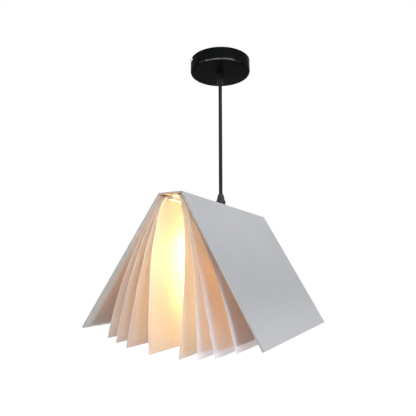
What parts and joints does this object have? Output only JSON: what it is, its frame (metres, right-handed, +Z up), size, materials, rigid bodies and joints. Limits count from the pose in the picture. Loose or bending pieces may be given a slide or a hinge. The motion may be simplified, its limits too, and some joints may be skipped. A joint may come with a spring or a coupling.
{
  "type": "book-shaped pendant light",
  "caption": "Open book hung spine-up from a round ceiling canopy on a cord, with fanned translucent pages round a lampholder and hinged cover boards.",
  "frame": {"origin": "The ceiling plane on the cord's axis: the middle of the ceiling bracket's top face.", "axes": "+Z up towards the ceiling, +Y along the book's spine away from the viewer of the picture, +X towards the right-hand cover."},
  "size_m": [0.2676, 0.303, 0.461],
  "materials": {
    "canopy_black": "gloss black paint on spun steel",
    "zinc_steel": "zinc-plated steel",
    "nickel": "nickel-plated steel",
    "brass": "plain brass",
    "black_plastic": "moulded black plastic",
    "white_plastic": "moulded white plastic",
    "cord_black": "smooth black round flex",
    "core_brown": "brown insulation",
    "core_blue": "blue insulation",
    "core_green": "green and yellow insulation",
    "cover_grey": "smooth satin light grey board",
    "page_sheet": "translucent peach lampshade sheet",
    "frosted_glass": "opal white glass lit from inside"
  },
  "bodies": {
    "ceiling_end": {"canopy": "canopy_black", "ceiling_bracket": "zinc_steel", "canopy_screw_left": "nickel", "canopy_screw_right": "nickel", "cord_grip": "black_plastic", "grip_nut": "zinc_steel", "grip_screw": "black_plastic", "terminal_block": "white_plastic", "terminal_block_screw": "zinc_steel", "earth_screw": "brass", "cord_tail_upper": "cord_black", "live_wire_upper": "core_brown", "neutral_wire_upper": "core_blue", "earth_wire_upper": "core_green"},
    "cord": {"pendant_cord": "cord_black"},
    "cord_end": {"cord_cap": "black_plastic", "cap_screw": "black_plastic", "threaded_tube": "zinc_steel", "tube_washer": "zinc_steel", "tube_nut": "zinc_steel", "cord_tail_lower": "cord_black", "live_wire_lower": "core_brown", "neutral_wire_lower": "core_blue", "lampholder_cap": "white_plastic", "lampholder_body": "white_plastic", "lampholder_core": "white_plastic", "screw_shell": "brass", "centre_contact": "brass"},
    "lamp": {"lamp_base": "nickel", "lamp_collar": "white_plastic", "lamp_glass": "frosted_glass", "lamp_light_post": "white_plastic"},
    "shade": {"spine_board": "cover_grey", "left_fold": "cover_grey", "right_fold": "cover_grey", "left_page_rail": "white_plastic", "right_page_rail": "white_plastic", "left_rail_screw_1": "nickel", "left_rail_screw_2": "nickel", "left_rail_screw_3": "nickel", "left_rail_screw_4": "nickel", "right_rail_screw_1": "nickel", "right_rail_screw_2": "nickel", "right_rail_screw_3": "nickel", "right_rail_screw_4": "nickel"},
    "left_cover_board": {"left_cover": "cover_grey"},
    "right_cover_board": {"right_cover": "cover_grey"},
    "left_sheet_1": {"left_page_1": "page_sheet"},
    "left_sheet_2": {"left_page_2": "page_sheet"},
    "left_sheet_3": {"left_page_3": "page_sheet"},
    "left_sheet_4": {"left_page_4": "page_sheet"},
    "right_sheet_1": {"right_page_1": "page_sheet"},
    "right_sheet_2": {"right_page_2": "page_sheet"},
    "right_sheet_3": {"right_page_3": "page_sheet"},
    "right_sheet_4": {"right_page_4": "page_sheet"}
  },
  "joints": [
    {"name": "cord_swing", "type": "hinge", "parent": "ceiling_end", "child": "cord", "pos_m": [0, 0, -0.0413], "axis": [0, 1, 0], "range_deg": [-20, 20]},
    {"name": "shade_nod", "type": "hinge", "parent": "cord", "child": "cord_end", "pos_m": [0, 0, -0.2283], "axis": [1, 0, 0], "range_deg": [-20, 20]},
    {"name": "shade_turn", "type": "hinge", "parent": "cord_end", "child": "shade", "pos_m": [0, 0, -0.2496], "axis": [0, 0, 1], "range_deg": [-90, 90]},
    {"name": "lamp_removal", "type": "slide", "parent": "cord_end", "child": "lamp", "axis": [0, 0, -1], "range_m": [0, 0.02]},
    {"name": "left_cover_fold", "type": "hinge", "parent": "shade", "child": "left_cover_board", "pos_m": [-0.01642, 0, -0.253], "axis": [0, 1, 0], "range_deg": [-1.4, 25], "stiffness_Nm_per_rad": 1.5, "springref_deg": 5.12, "deforming": ["left_fold"]},
    {"name": "right_cover_fold", "type": "hinge", "parent": "shade", "child": "right_cover_board", "pos_m": [0.01622, 0, -0.253], "axis": [0, -1, 0], "range_deg": [-1.4, 25], "stiffness_Nm_per_rad": 1.5, "springref_deg": 4.43, "deforming": ["right_fold"]},
    {"name": "left_page_1_bend", "type": "hinge", "parent": "shade", "child": "left_sheet_1", "pos_m": [-0.0115, 0, -0.257], "axis": [0, 1, 0], "range_deg": [-2.5, 2.5], "stiffness_Nm_per_rad": 0.2, "springref_deg": 1.39},
    {"name": "left_page_2_bend", "type": "hinge", "parent": "shade", "child": "left_sheet_2", "pos_m": [-0.0135, 0, -0.257], "axis": [0, 1, 0], "range_deg": [-2.5, 1.9], "stiffness_Nm_per_rad": 0.2, "springref_deg": 2.6},
    {"name": "left_page_3_bend", "type": "hinge", "parent": "shade", "child": "left_sheet_3", "pos_m": [-0.0155, 0, -0.257], "axis": [0, 1, 0], "range_deg": [-1.9, 1.8], "stiffness_Nm_per_rad": 0.2, "springref_deg": 3.37},
    {"name": "left_page_4_bend", "type": "hinge", "parent": "shade", "child": "left_sheet_4", "pos_m": [-0.0175, 0, -0.257], "axis": [0, 1, 0], "range_deg": [-1.8, 1.4], "stiffness_Nm_per_rad": 0.2, "springref_deg": 3.91},
    {"name": "right_page_1_bend", "type": "hinge", "parent": "shade", "child": "right_sheet_1", "pos_m": [0.01087, 0, -0.257], "axis": [0, -1, 0], "range_deg": [-1.5, 2.5], "stiffness_Nm_per_rad": 0.2, "springref_deg": 0.55},
    {"name": "right_page_2_bend", "type": "hinge", "parent": "shade", "child": "right_sheet_2", "pos_m": [0.01287, 0, -0.257], "axis": [0, -1, 0], "range_deg": [-2.5, 1.3], "stiffness_Nm_per_rad": 0.2, "springref_deg": 1.52},
    {"name": "right_page_3_bend", "type": "hinge", "parent": "shade", "child": "right_sheet_3", "pos_m": [0.01487, 0, -0.257], "axis": [0, -1, 0], "range_deg": [-1.3, 2.5], "stiffness_Nm_per_rad": 0.2, "springref_deg": 2.13},
    {"name": "right_page_4_bend", "type": "hinge", "parent": "shade", "child": "right_sheet_4", "pos_m": [0.01687, 0, -0.257], "axis": [0, -1, 0], "range_deg": [-2.5, 1.4], "stiffness_Nm_per_rad": 0.2, "springref_deg": 3.39}
  ]
}
